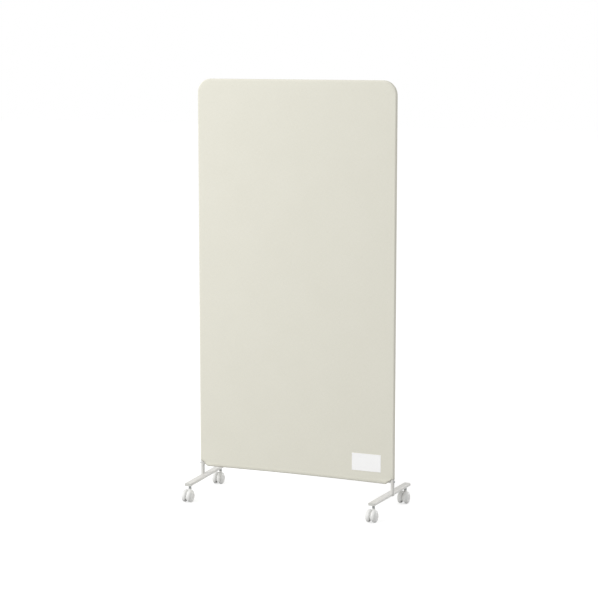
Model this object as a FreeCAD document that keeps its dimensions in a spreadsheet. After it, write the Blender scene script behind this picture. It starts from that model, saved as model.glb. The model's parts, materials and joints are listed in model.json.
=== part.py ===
import FreeCAD, Part
import math
import os
import re
import Sketcher

# Free-standing partition screen: a cloth cover pulled over a bent steel tube frame,
# carried by two flat legs on four twin-wheel swivel casters.
# Millimetres. Origin on the floor under the middle of the screen, +Z up,
# -Y towards the face that carries the sewn label, +X to the right of that face.

SIZES = {
    # Tube frame
    "screen_width": 900.0,
    "screen_height": 1800.0,
    "tube_diameter": 15.9,
    "tube_wall": 1.2,
    "corner_radius": 60.0,
    "bend_margin": 5.0,
    "lower_post_length": 842.0,
    "spigot_length": 80.0,
    "spigot_wall": 1.2,
    "sleeve_clearance": 0.1,
    # Bottom rail with its end plugs and screws
    "rail_rise": 11.0,
    "rail_diameter": 12.7,
    "rail_wall": 1.0,
    "rail_plug_length": 18.0,
    "rail_plug_setback": 3.0,
    "weld_gap": 0.1,
    "screw_diameter": 5.0,
    "screw_length": 34.0,
    "screw_head_diameter": 9.5,
    "screw_head_height": 2.6,
    "screw_edge_height": 0.8,
    "screw_socket_width": 3.0,
    "screw_socket_depth": 1.6,
    "screw_hole_clearance": 0.25,
    # Legs
    "leg_length": 380.0,
    "leg_width": 30.0,
    "leg_height": 12.0,
    "leg_wall": 1.2,
    "leg_edge_radius": 2.5,
    "leg_inset": 12.0,
    "leg_splay_angle": 2.9,
    "post_recess": 1.0,
    "cap_thickness": 2.0,
    "cap_bevel": 0.8,
    "cap_plug_depth": 10.0,
    "cap_clearance": 0.15,
    "foot_plug_thickness": 0.8,
    "foot_plug_depth": 8.0,
    # Caster stems, their nuts, bushes and clips
    "stem_setback": 20.0,
    "stem_neck_length": 14.5,
    "stem_neck_diameter": 12.0,
    "stem_flats_width": 10.0,
    "stem_flats_height": 5.0,
    "stem_thread_diameter": 8.0,
    "stem_thread_length": 8.4,
    "stem_hole_clearance": 0.1,
    "stem_pin_diameter": 8.0,
    "stem_pin_tail": 1.2,
    "nut_width": 13.0,
    "nut_height": 6.5,
    "bush_wall": 1.2,
    "bush_flange": 0.8,
    "running_clearance": 0.05,
    "swivel_gap": 0.2,
    "clip_thickness": 1.0,
    "clip_groove_depth": 0.8,
    "clip_overhang": 1.4,
    "clip_opening": 5.0,
    "clip_gap": 0.3,
    # Twin wheels on their axle
    "wheel_diameter": 50.0,
    "wheel_width": 16.5,
    "wheel_gap": 14.6,
    "wheel_shoulder": 4.0,
    "wheel_dome_width": 9.5,
    "wheel_dome_rise": 11.5,
    "wheel_end_wall": 1.8,
    "wheel_hub_diameter": 15.0,
    "wheel_rim_thickness": 5.0,
    "wheel_recess_depth": 9.5,
    "wheel_dish_depth": 1.0,
    "wheel_dish_margin": 14.0,
    "wheel_boss_diameter": 14.0,
    "axle_diameter": 6.0,
    "axle_end_gap": 0.4,
    # Swivelling hood
    "caster_trail": 20.0,
    "hood_clearance": 1.2,
    "hood_thickness": 2.2,
    "hood_crown": 1.2,
    "hood_edge_bevel": 4.5,
    "hood_side_margin": 4.5,
    "hood_valley_width": 6.0,
    "hood_valley_depth": 9.0,
    "hood_web_width": 12.0,
    "hood_web_step": 0.7,
    "hood_sweep_angle": 210.0,
    "hood_lean_angle": -10.0,
    "hood_boss_diameter": 14.0,
    "hood_boss_length": 25.0,
    "hood_bore_lip": 5.0,
    "axle_boss_radius": 7.0,
    "clip_room": 0.7,
    # Cloth cover and its label
    "cloth_thickness": 0.6,
    "cloth_gap": 0.3,
    "hem_gap": 37.0,
    "notch_width": 36.0,
    "notch_height": 23.0,
    "label_width": 130.0,
    "label_height": 74.0,
    "label_margin": 58.0,
    "label_rise": 48.0,
    "label_thickness": 0.4,
}

# Places and sizes that follow from the ones above.
DERIVED = {
    "tube_radius": "tube_diameter / 2",
    "tube_bore_radius": "tube_radius - tube_wall",
    "post_x": "screen_width / 2 - tube_radius",
    "rail_top_z": "screen_height - tube_radius",
    "bend_radius": "corner_radius - tube_radius",
    "bend_z": "screen_height - corner_radius",
    "bend_x": "post_x - bend_radius",
    "top_joint_x": "bend_x - bend_margin - spigot_length / 2",
    "wheel_radius": "wheel_diameter / 2",
    "fender_radius": "wheel_radius + hood_clearance",
    "hood_radius": "fender_radius + hood_thickness",
    "hood_top_z": "wheel_radius + hood_radius",
    "neck_z": "hood_top_z + bush_flange + swivel_gap",
    "leg_underside_z": "neck_z + stem_neck_length",
    "leg_middle_z": "leg_underside_z + leg_height / 2",
    "leg_top_z": "leg_underside_z + leg_height",
    "post_foot_z": "leg_underside_z + post_recess",
    "split_z": "post_foot_z + lower_post_length",
    "caster_spacing": "leg_length - 2 * stem_setback",
    "hem_z": "leg_top_z + hem_gap",
    "rail_z": "hem_z + rail_rise",
    "side_hem_z": "hem_z + notch_height",
    "cloth_inner": "tube_radius + cloth_gap",
    "cloth_outer": "cloth_inner + cloth_thickness",
    "boss_z": "hood_top_z - hood_boss_length",
    "bush_radius": "stem_pin_diameter / 2 + running_clearance + bush_wall",
    "bush_z": "boss_z + hood_bore_lip",
    "clip_z": "bush_z - clip_gap - clip_thickness",
    "clip_radius": "stem_pin_diameter / 2 + clip_overhang",
    "wheel_middle": "(wheel_gap + wheel_width) / 2",
    "axle_length": "wheel_gap + 2 * (wheel_width - wheel_end_wall - axle_end_gap)",
    "axle_bore_radius": "axle_diameter / 2 + running_clearance",
}

SIDES = {"left": -1, "right": 1}
ENDS = {"front": -1, "rear": 1}

# Degrees round a wheel's domed edge, from the tread to the outer face, at which a bevel starts or ends.
DOME_TURNS = (0, 30, 60, 90)

doc = FreeCAD.newDocument("PartitionScreen")
sheet = doc.addObject("Spreadsheet::Sheet", "Sizes")
for row, (alias, number) in enumerate(SIZES.items(), start=1):
    sheet.set(f"A{row}", alias)
    sheet.set(f"B{row}", str(number))
    sheet.setAlias(f"B{row}", alias)
doc.recompute()

SUBPARTS = []


def formula(text):
    """Write a formula of size names as an expression on the sheet's cells."""
    def cell(match):
        word = match.group()
        if word in DERIVED:
            return f"({formula(DERIVED[word])})"
        return f"Sizes.{word}" if word in SIZES else word
    return re.sub(r"[a-z_]+", cell, str(text))


def size(text):
    """Work out a formula of size names as a plain number."""
    return float(sheet.evalExpression(formula(text)))


def bind(thing, **properties):
    """Tie properties to formulas; a double underscore in a name stands for a dot."""
    for name, text in properties.items():
        thing.setExpression(name.replace("__", "."), formula(text))


def subpart(thing, name):
    """Give a finished piece the name of its file."""
    thing.Label = name
    SUBPARTS.append(thing)
    return thing


def body_at(name, x="0", y="0", z="0"):
    """Start a body whose own frame stands at a place worked out from the sizes."""
    body = doc.addObject("PartDesign::Body", name)
    bind(body, Placement__Base__x=x, Placement__Base__y=y, Placement__Base__z=z)
    return subpart(body, name)


def sketch_on(body, plane, offset="0"):
    """Put a sketch on one of the body's own planes, moved along its normal."""
    sketch = body.newObject("Sketcher::SketchObject", f"{body.Name}_sketch")
    origin_planes = [item for item in body.Origin.OriginFeatures if item.Role == f"{plane}_Plane"]
    sketch.AttachmentSupport = [(origin_planes[0], "")]
    sketch.MapMode = "FlatFace"
    bind(sketch, AttachmentOffset__Base__z=offset)
    return sketch


def pin_point(sketch, geometry, point, x, y):
    """Fix one point of a sketch at the formulas x and y."""
    for kind, text, axis in (("DistanceX", x, -2), ("DistanceY", y, -1)):
        value = size(text)
        if value == 0:
            sketch.addConstraint(Sketcher.Constraint("PointOnObject", geometry, point, axis))
            continue
        index = sketch.addConstraint(Sketcher.Constraint(kind, -1, 1, geometry, point, value))
        sketch.setExpression(f"Constraints[{index}]", formula(text))


def circle(sketch, x, y, radius):
    """Draw a circle from formulas."""
    centre = FreeCAD.Vector(size(x), size(y), 0)
    geometry = sketch.addGeometry(Part.Circle(centre, FreeCAD.Vector(0, 0, 1), size(radius)), False)
    pin_point(sketch, geometry, 3, x, y)
    index = sketch.addConstraint(Sketcher.Constraint("Radius", geometry, size(radius)))
    sketch.setExpression(f"Constraints[{index}]", formula(radius))


def outline(sketch, *points, closed=True):
    """Draw lines and arcs through points given as formulas.

    A point is (x, y), reached by a line, or (x, y, radius, turn), reached by an arc
    that turns left when turn is 1 and right when it is -1.
    """
    places = [FreeCAD.Vector(size(point[0]), size(point[1]), 0) for point in points]
    pairs = [(i, i + 1) for i in range(len(points) - 1)]
    if closed:
        pairs.append((len(points) - 1, 0))
    ends = {}
    for start, end in pairs:
        first, last = places[start], places[end]
        target = points[end]
        if len(target) == 2:
            geometry = sketch.addGeometry(Part.LineSegment(first, last), False)
        else:
            radius, turn = size(target[2]), target[3]
            chord = last - first
            rise = math.sqrt(radius ** 2 - chord.Length ** 2 / 4)
            left = FreeCAD.Vector(-chord.y, chord.x, 0).normalize()
            centre = (first + last) * 0.5 + left * (turn * rise)
            middle = centre - left * (turn * radius)
            geometry = sketch.addGeometry(Part.Arc(first, middle, last), False)
            index = sketch.addConstraint(Sketcher.Constraint("Radius", geometry, radius))
            sketch.setExpression(f"Constraints[{index}]", formula(target[2]))
        gaps = [(sketch.getPoint(geometry, point) - first).Length for point in (1, 2)]
        forward = gaps[0] < gaps[1]
        ends[start, "out"] = (geometry, 1 if forward else 2)
        ends[end, "in"] = (geometry, 2 if forward else 1)
    for i, point in enumerate(points):
        leaving, arriving = ends.get((i, "out")), ends.get((i, "in"))
        if leaving and arriving:
            sketch.addConstraint(Sketcher.Constraint("Coincident", *arriving, *leaving))
        pin_point(sketch, *(leaving or arriving), point[0], point[1])


def rounded_box(sketch, x, y, width, height, radius):
    """Draw a rectangle with round corners about its middle."""
    left, right = f"{x} - {width} / 2", f"{x} + {width} / 2"
    low, high = f"{y} - {height} / 2", f"{y} + {height} / 2"
    outline(sketch,
            (f"{left} + {radius}", low), (f"{right} - {radius}", low),
            (right, f"{low} + {radius}", radius, 1), (right, f"{high} - {radius}"),
            (f"{right} - {radius}", high, radius, 1), (f"{left} + {radius}", high),
            (left, f"{high} - {radius}", radius, 1), (left, f"{low} + {radius}"),
            (f"{left} + {radius}", low, radius, 1), closed=False)


def pad(body, sketch, length, symmetric=False, reverse=False):
    """Raise a sketch into a solid."""
    feature = body.newObject("PartDesign::Pad", f"{body.Name}_pad")
    feature.Profile = sketch
    feature.Reversed = reverse
    feature.Midplane = symmetric
    bind(feature, Length=length)
    return feature


def cut_through(body, sketch):
    """Cut a sketch through the whole body, both ways."""
    feature = body.newObject("PartDesign::Pocket", f"{body.Name}_cut")
    feature.Profile = sketch
    feature.Type = "ThroughAll"
    feature.Midplane = True
    return feature


def cut_up(body, sketch, length):
    """Cut a sketch along its own normal to a given depth."""
    feature = body.newObject("PartDesign::Pocket", f"{body.Name}_cut")
    feature.Profile = sketch
    feature.Reversed = True
    bind(feature, Length=length)
    return feature


def revolve(body, sketch, axis, angle="360"):
    """Turn a sketch about one of its own axes, evenly to both sides."""
    feature = body.newObject("PartDesign::Revolution", f"{body.Name}_turn")
    feature.Profile = sketch
    feature.ReferenceAxis = (sketch, [axis])
    feature.Midplane = True
    bind(feature, Angle=angle)
    return feature


def groove(body, sketch, axis):
    """Cut a ring out of a body by turning a sketch about one of its own axes."""
    feature = body.newObject("PartDesign::Groove", f"{body.Name}_groove")
    feature.Profile = sketch
    feature.ReferenceAxis = (sketch, [axis])
    feature.Angle = 360
    return feature


def bevel_face(body, feature, direction, amount):
    """Bevel the edges of the face that lies furthest out in a direction."""
    doc.recompute()
    faces = feature.Shape.Faces
    reach = [face.CenterOfMass.dot(direction) for face in faces]
    outermost = reach.index(max(reach)) + 1
    bevel = body.newObject("PartDesign::Chamfer", f"{body.Name}_bevel")
    bevel.Base = (feature, [f"Face{outermost}"])
    bind(bevel, Size=amount)
    return bevel


def tube(name, plane, x, y, start, length, outer, bore):
    """A straight tube square to a plane; x and y are the sketch's own directions."""
    body = body_at(name)
    sketch = sketch_on(body, plane, start)
    circle(sketch, x, y, outer)
    circle(sketch, x, y, bore)
    pad(body, sketch, length)
    return body


def sweep(body, profile, spine):
    """Carry a profile along a path."""
    feature = body.newObject("PartDesign::AdditivePipe", f"{body.Name}_sweep")
    feature.Profile = profile
    feature.Spine = (spine, [f"Edge{i + 1}" for i in range(len(spine.Geometry))])
    return feature


def group(name, pieces):
    """Several like pieces kept under one name."""
    together = doc.addObject("Part::Compound", name)
    together.Links = pieces
    return subpart(together, name)


# Tube frame: bent side tubes above, straight posts below, a rail between the bends.

def upper_frame(side, sign):
    """One side tube with its top bend, from the mid-height joint to the top rail."""
    body = body_at(f"upper_frame_{side}")
    spine = sketch_on(body, "XZ")
    outline(spine,
            (f"{sign} * post_x", "split_z"), (f"{sign} * post_x", "bend_z"),
            (f"{sign} * bend_x", "rail_top_z", "bend_radius", sign),
            (f"{sign} * top_joint_x", "rail_top_z"), closed=False)
    profile = sketch_on(body, "XY", "split_z")
    circle(profile, f"{sign} * post_x", "0", "tube_radius")
    circle(profile, f"{sign} * post_x", "0", "tube_bore_radius")
    sweep(body, profile, spine)


def lower_post(side, sign):
    """Straight post from the leg to the mid-height joint, drilled for the rail screw."""
    body = tube(f"lower_post_{side}", "XY", f"{sign} * post_x", "0", "post_foot_z",
                "lower_post_length", "tube_radius", "tube_bore_radius")
    hole = sketch_on(body, "YZ")
    circle(hole, "0", "rail_z", "screw_diameter / 2 + screw_hole_clearance")
    cut_through(body, hole)


def spigots(side, sign):
    """Inner sleeves that join the tubes at mid height and beside the top bend."""
    outer = "tube_bore_radius - sleeve_clearance"
    inner = "tube_bore_radius - sleeve_clearance - spigot_wall"
    tube(f"post_spigot_{side}", "XY", f"{sign} * post_x", "0", "split_z - spigot_length / 2",
         "spigot_length", outer, inner)
    tube(f"top_spigot_{side}", "YZ", "0", "rail_top_z", f"{sign} * top_joint_x - spigot_length / 2",
         "spigot_length", outer, inner)


def bottom_rail():
    """Thin rail between the posts, its ends coped to sit round them."""
    body = tube("bottom_rail", "YZ", "0", "rail_z", "-post_x", "2 * post_x",
                "rail_diameter / 2", "rail_diameter / 2 - rail_wall")
    cope = sketch_on(body, "XY")
    for sign in SIDES.values():
        circle(cope, f"{sign} * post_x", "0", "tube_radius + weld_gap")
    cut_through(body, cope)


def rail_plug(side, sign):
    """Drilled plug inside an end of the rail, which takes the screw."""
    body = doc.addObject("PartDesign::Body", f"rail_plug_{side}")
    outer_end = f"{sign} * (post_x - tube_radius - rail_plug_setback)"
    start = outer_end if sign < 0 else f"{outer_end} - rail_plug_length"
    sketch = sketch_on(body, "YZ", start)
    circle(sketch, "0", "rail_z", "rail_diameter / 2 - rail_wall - sleeve_clearance")
    circle(sketch, "0", "rail_z", "screw_diameter / 2 + sleeve_clearance")
    pad(body, sketch, "rail_plug_length")
    return body


def rail_screw(side, sign):
    """Socket-head screw with a domed head, from outside the post into the rail plug."""
    body = doc.addObject("PartDesign::Body", f"rail_screw_{side}")
    bind(body, Placement__Base__x=f"{sign} * (post_x + tube_radius)", Placement__Base__z="rail_z")
    section = sketch_on(body, "XZ")
    out = str(sign)
    outline(section,
            (f"{out} * -screw_length", "0"), (f"{out} * -screw_length", "screw_diameter / 2"),
            ("0", "screw_diameter / 2"), ("0", "screw_head_diameter / 2"),
            (f"{out} * screw_edge_height", "screw_head_diameter / 2"),
            (f"{out} * screw_head_height", "screw_socket_width",
             "screw_head_diameter", -sign),
            (f"{out} * screw_head_height", "screw_socket_width / 2"),
            (f"{out} * (screw_head_height - screw_socket_depth)", "screw_socket_width / 2"),
            (f"{out} * (screw_head_height - screw_socket_depth)", "0"))
    revolve(body, section, "H_Axis")
    return body


# Legs: flat rectangular tubes, notched for the posts and closed by plastic caps.

def leg_body(name, sign):
    """Start a body in a leg's own frame, on the post's axis and turned by the splay."""
    body = body_at(name, f"{sign} * post_x")
    bind(body, Placement__Rotation__Angle=f"{-sign} * leg_splay_angle")
    return body


def stem_place(sign, direction):
    """Where a caster stem stands, at an end of a splayed leg."""
    x = (f"{sign} * (post_x - leg_inset * cos(leg_splay_angle)"
         f" + {direction} * caster_spacing / 2 * sin(leg_splay_angle))")
    y = f"leg_inset * sin(leg_splay_angle) + {direction} * caster_spacing / 2 * cos(leg_splay_angle)"
    return x, y


def leg_bar(side, sign):
    """Flat leg with a half-round seat for the post and a hole under each stem nut."""
    body = leg_body(f"leg_bar_{side}", sign)
    section = sketch_on(body, "XZ")
    middle = f"{-sign} * leg_inset"
    rounded_box(section, middle, "leg_middle_z", "leg_width", "leg_height", "leg_edge_radius")
    rounded_box(section, middle, "leg_middle_z", "(leg_width - 2 * leg_wall)",
                "(leg_height - 2 * leg_wall)", "(leg_edge_radius - leg_wall)")
    pad(body, section, "leg_length", symmetric=True)
    seat = sketch_on(body, "XY")
    circle(seat, "0", "0", "tube_radius + weld_gap")
    cut_through(body, seat)
    holes = sketch_on(body, "XY")
    for end in ENDS.values():
        circle(holes, middle, f"{end} * caster_spacing / 2", "stem_thread_diameter / 2 + stem_hole_clearance")
    cut_up(body, holes, "leg_underside_z + leg_height / 2")


def leg_cap(side, sign, end, direction):
    """Push-in cap that closes one end of a leg."""
    body = leg_body(f"leg_cap_{end}_{side}", sign)
    middle = f"{-sign} * leg_inset"
    face = sketch_on(body, "XZ", f"{-direction} * leg_length / 2")
    rounded_box(face, middle, "leg_middle_z", "leg_width", "leg_height", "leg_edge_radius")
    plate = pad(body, face, "cap_thickness", reverse=direction > 0)
    bevel_face(body, plate, FreeCAD.Vector(0, direction, 0), "cap_bevel")
    plug = sketch_on(body, "XZ", f"{-direction} * leg_length / 2")
    rounded_box(plug, middle, "leg_middle_z", "(leg_width - 2 * leg_wall - 2 * cap_clearance)",
                "(leg_height - 2 * leg_wall - 2 * cap_clearance)", "(leg_edge_radius - leg_wall)")
    pad(body, plug, "cap_plug_depth", reverse=direction < 0)


def stem_nut(side, sign, end, direction):
    """Hexagon nut welded inside the leg, over a caster stem."""
    block = doc.addObject("Part::Prism", f"nut_block_{end}_{side}")
    block.Polygon = 6
    bore = doc.addObject("Part::Cylinder", f"nut_bore_{end}_{side}")
    bind(block, Circumradius="nut_width / sqrt(3)", Height="nut_height")
    bind(bore, Radius="stem_thread_diameter / 2 + stem_hole_clearance", Height="nut_height")
    x, y = stem_place(sign, direction)
    for piece in (block, bore):
        bind(piece, Placement__Base__x=x, Placement__Base__y=y,
             Placement__Base__z="leg_underside_z + leg_wall")
    nut = doc.addObject("Part::Cut", f"nut_{end}_{side}")
    nut.Base = block
    nut.Tool = bore
    return nut


def foot_plug(side, sign):
    """Plastic plug that closes the bottom end of a post."""
    rim = doc.addObject("Part::Cylinder", f"foot_rim_{side}")
    stub = doc.addObject("Part::Cylinder", f"foot_stub_{side}")
    bind(rim, Radius="tube_radius", Height="foot_plug_thickness",
         Placement__Base__z="post_foot_z - foot_plug_thickness")
    bind(stub, Radius="tube_bore_radius - sleeve_clearance",
         Height="foot_plug_depth + foot_plug_thickness",
         Placement__Base__z="post_foot_z - foot_plug_thickness")
    for piece in (rim, stub):
        bind(piece, Placement__Base__x=f"{sign} * post_x")
    plug = doc.addObject("Part::Fuse", f"foot_plug_{side}")
    plug.Base = rim
    plug.Tool = stub
    return plug


# Casters: a stem screwed into the leg, and a hood that swivels on it with two wheels.

def stem(corner, x, y):
    """Turned stem: thread in the leg, neck with spanner flats, pin with a clip groove."""
    body = body_at(f"stem_{corner}", x, y)
    section = sketch_on(body, "XZ")
    pin, groove = "stem_pin_diameter / 2", "stem_pin_diameter / 2 - clip_groove_depth"
    tail = "clip_z - stem_pin_tail"
    outline(section,
            ("0", tail), (pin, tail), (pin, "clip_z"), (groove, "clip_z"),
            (groove, "clip_z + clip_thickness"), (pin, "clip_z + clip_thickness"), (pin, "neck_z"),
            ("stem_neck_diameter / 2", "neck_z"), ("stem_neck_diameter / 2", "leg_underside_z"),
            ("stem_thread_diameter / 2", "leg_underside_z"),
            ("stem_thread_diameter / 2", "leg_underside_z + stem_thread_length"),
            ("0", "leg_underside_z + stem_thread_length"))
    revolve(body, section, "V_Axis")
    flats = sketch_on(body, "YZ")
    for sign in SIDES.values():
        near, far = f"{sign} * stem_flats_width / 2", f"{sign} * stem_neck_diameter"
        outline(flats,
                (near, "leg_underside_z - stem_flats_height"), (far, "leg_underside_z - stem_flats_height"),
                (far, "leg_underside_z"), (near, "leg_underside_z"))
    cut_through(body, flats)


def stem_clip(corner, x, y):
    """Open spring clip in the groove of the stem, which keeps the hood on."""
    disc = doc.addObject("Part::Cylinder", f"clip_disc_{corner}")
    bore = doc.addObject("Part::Cylinder", f"clip_bore_{corner}")
    slot = doc.addObject("Part::Box", f"clip_slot_{corner}")
    bind(disc, Radius="clip_radius", Height="clip_thickness")
    bind(bore, Radius="stem_pin_diameter / 2 - clip_groove_depth", Height="clip_thickness")
    bind(slot, Length="clip_opening", Width="clip_radius", Height="clip_thickness")
    for piece in (disc, bore, slot):
        bind(piece, Placement__Base__y=y, Placement__Base__z="clip_z")
    for piece in (disc, bore):
        bind(piece, Placement__Base__x=x)
    bind(slot, Placement__Base__x=f"{x} - clip_opening / 2")
    ring = doc.addObject("Part::Cut", f"clip_ring_{corner}")
    ring.Base = disc
    ring.Tool = bore
    clip = doc.addObject("Part::Cut", f"clip_{corner}")
    clip.Base = ring
    clip.Tool = slot
    return clip


def swivel_bush(corner, x, y):
    """Flanged bush pressed into the hood, which turns on the stem."""
    body = body_at(f"swivel_bush_{corner}", x, y)
    section = sketch_on(body, "XZ")
    inner = "stem_pin_diameter / 2 + running_clearance"
    outline(section,
            (inner, "bush_z"), ("bush_radius", "bush_z"), ("bush_radius", "hood_top_z"),
            ("hood_boss_diameter / 2", "hood_top_z"),
            ("hood_boss_diameter / 2", "hood_top_z + bush_flange"), (inner, "hood_top_z + bush_flange"))
    revolve(body, section, "V_Axis")


def hood(corner, x, y):
    """Moulded hood: a crowned fender over each wheel, a grooved web between them and the stem boss."""
    body = body_at(f"hood_{corner}", x, f"{y} - caster_trail", "wheel_radius")
    web = sketch_on(body, "YZ")
    rim = "(fender_radius + hood_web_step)"
    front_angle = "(90 - hood_lean_angle + hood_sweep_angle / 2)"
    rear_angle = "(90 - hood_lean_angle - hood_sweep_angle / 2)"
    outline(web,
            ("-axle_boss_radius", "-axle_boss_radius"), ("axle_boss_radius", "-axle_boss_radius"),
            (f"{rim} * cos({rear_angle})", f"{rim} * sin({rear_angle})"),
            (f"{rim} * cos(90 - hood_lean_angle)", f"{rim} * sin(90 - hood_lean_angle)", rim, 1),
            (f"{rim} * cos({front_angle})", f"{rim} * sin({front_angle})", rim, 1))
    pad(body, web, "hood_web_width", symmetric=True)

    fenders = sketch_on(body, "XZ")
    fenders.AttachmentOffset = FreeCAD.Placement(
        FreeCAD.Vector(), FreeCAD.Rotation(FreeCAD.Vector(1, 0, 0), -size("hood_lean_angle")))
    bind(fenders, AttachmentOffset__Rotation__Angle="-hood_lean_angle")
    shoulder = "hood_radius - hood_crown"
    for sign in SIDES.values():
        inside = f"{sign} * hood_valley_width / 2"
        outside = f"{sign} * (wheel_gap / 2 + wheel_width - hood_side_margin)"
        outline(fenders,
                (inside, "fender_radius"), (outside, "fender_radius"), (outside, shoulder),
                (f"{outside} - {sign} * hood_edge_bevel", "hood_radius"),
                (f"{inside} + {sign} * hood_edge_bevel", "hood_radius"), (inside, shoulder))
    revolve(body, fenders, "H_Axis", "hood_sweep_angle")
    valley = sketch_on(body, "XZ")
    outline(valley,
            ("-hood_valley_width / 2", "hood_radius + hood_clearance"),
            ("-hood_valley_width / 4", "hood_radius - hood_valley_depth"),
            ("hood_valley_width / 4", "hood_radius - hood_valley_depth"),
            ("hood_valley_width / 2", "hood_radius + hood_clearance"))
    groove(body, valley, "H_Axis")

    boss = sketch_on(body, "XY", "boss_z - wheel_radius")
    circle(boss, "0", "caster_trail", "hood_boss_diameter / 2")
    pad(body, boss, "hood_boss_length")
    bore = sketch_on(body, "XY", "boss_z - wheel_radius")
    circle(bore, "0", "caster_trail", "bush_radius + running_clearance")
    cut_up(body, bore, "hood_boss_length")
    room = sketch_on(body, "XY", "boss_z - wheel_radius")
    circle(room, "0", "caster_trail", "clip_radius + clip_room")
    cut_up(body, room, "hood_bore_lip")
    axle_bore = sketch_on(body, "YZ")
    circle(axle_bore, "0", "0", "axle_diameter / 2 + running_clearance")
    cut_through(body, axle_bore)


def axle(corner, x, y):
    """Plain steel pin fixed in the hood, with the wheels on its ends."""
    body = body_at(f"axle_{corner}", x, f"{y} - caster_trail", "wheel_radius")
    section = sketch_on(body, "YZ")
    circle(section, "0", "0", "axle_diameter / 2")
    pad(body, section, "axle_length", symmetric=True)


def wheel(corner, x, y, hand, sign):
    """Nylon wheel: open recess inside, domed face with a shallow dish outside, blind hub."""
    body = body_at(f"wheel_{corner}_{hand}", f"{x} + {sign} * wheel_middle",
                   f"{y} - caster_trail", "wheel_radius")
    section = sketch_on(body, "XZ")
    inner, outer = f"{-sign} * wheel_width / 2", f"{sign} * wheel_width / 2"
    floor = f"{sign} * (wheel_recess_depth - wheel_width / 2)"
    dish = f"{sign} * (wheel_width / 2 - wheel_dish_depth)"
    blind = f"{sign} * (wheel_width / 2 - wheel_end_wall)"
    rim = "wheel_radius - wheel_rim_thickness"
    dish_rim = "wheel_radius - wheel_dish_margin"
    shoulder = "wheel_radius - wheel_shoulder"
    outline(section,
            (blind, "0"), (blind, "axle_bore_radius"), (inner, "axle_bore_radius"),
            (inner, "wheel_hub_diameter / 2"), (floor, "wheel_hub_diameter / 2"), (floor, rim),
            (inner, rim), (inner, shoulder), (f"{inner} + {sign} * wheel_shoulder", "wheel_radius"),
            *[(f"{outer} - {sign} * wheel_dome_width * (1 - sin({turn}))",
               f"wheel_radius - wheel_dome_rise * (1 - cos({turn}))") for turn in DOME_TURNS],
            (outer, dish_rim), (dish, dish_rim),
            (dish, "wheel_boss_diameter / 2"), (outer, "wheel_boss_diameter / 2"), (outer, "0"))
    revolve(body, section, "H_Axis")


# Cloth cover: front and back panels, strips that wrap the tubes, and a flap under the rail.

def cover_panel(name, offset):
    """Flat cloth panel with rounded top corners and the bottom corners cut away."""
    body = body_at(name)
    sketch = sketch_on(body, "XZ", offset)
    hem_x = "(screen_width / 2 - notch_width)"
    outline(sketch,
            (f"-{hem_x}", "hem_z"), (hem_x, "hem_z"), ("post_x", "side_hem_z"), ("post_x", "bend_z"),
            ("bend_x", "rail_top_z", "bend_radius", 1), ("-1 * bend_x", "rail_top_z"),
            ("-1 * post_x", "bend_z", "bend_radius", 1), ("-1 * post_x", "side_hem_z"))
    pad(body, sketch, "cloth_thickness")


def half_ring(sketch, x, y, sign, upright):
    """Draw the outer half of a cloth ring about a tube, to one side or upwards."""
    def point(across, along, *arc):
        if upright:
            return (f"{x} - ({sign} * ({along}))", f"{y} + {across}", *arc)
        return (f"{x} + {sign} * {across}", f"{y} + {along}", *arc)
    outline(sketch,
            point("0", "-cloth_outer"), point("cloth_outer", "0", "cloth_outer", sign),
            point("0", "cloth_outer", "cloth_outer", sign), point("0", "cloth_inner"),
            point("cloth_inner", "0", "cloth_inner", -sign),
            point("0", "-cloth_inner", "cloth_inner", -sign))


def cover_side(side, sign):
    """Cloth strip that wraps the outer half of a side tube and its top bend."""
    body = body_at(f"cover_side_{side}")
    spine = sketch_on(body, "XZ")
    outline(spine,
            (f"{sign} * post_x", "side_hem_z"), (f"{sign} * post_x", "bend_z"),
            (f"{sign} * bend_x", "rail_top_z", "bend_radius", sign), closed=False)
    profile = sketch_on(body, "XY", "side_hem_z")
    half_ring(profile, f"{sign} * post_x", "0", sign, upright=False)
    sweep(body, profile, spine)


def cover_top():
    """Cloth strip that wraps the upper half of the top rail."""
    body = body_at("cover_top")
    profile = sketch_on(body, "YZ")
    half_ring(profile, "0", "rail_top_z", 1, upright=True)
    pad(body, profile, "2 * bend_x", symmetric=True)


def cover_flap():
    """Flap that closes the cover under the bottom rail, from panel to panel."""
    flap = doc.addObject("Part::Box", "cover_flap")
    bind(flap, Length="screen_width - 2 * notch_width", Width="2 * cloth_inner", Height="cloth_thickness",
         Placement__Base__x="notch_width - screen_width / 2", Placement__Base__y="-cloth_inner",
         Placement__Base__z="hem_z")
    subpart(flap, "cover_flap")


def label_tag():
    """Plain cloth label sewn flat on the front panel, low on the right."""
    tag = doc.addObject("Part::Box", "label_tag")
    bind(tag, Length="label_width", Width="label_thickness", Height="label_height",
         Placement__Base__x="screen_width / 2 - label_margin - label_width",
         Placement__Base__y="-cloth_outer - label_thickness", Placement__Base__z="hem_z + label_rise")
    subpart(tag, "label_tag")


def caster(corner, x, y):
    """One caster; gives back its clip, which is grouped with the others."""
    stem(corner, x, y)
    swivel_bush(corner, x, y)
    hood(corner, x, y)
    axle(corner, x, y)
    for hand, sign in SIDES.items():
        wheel(corner, x, y, hand, sign)
    return stem_clip(corner, x, y)


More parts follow.
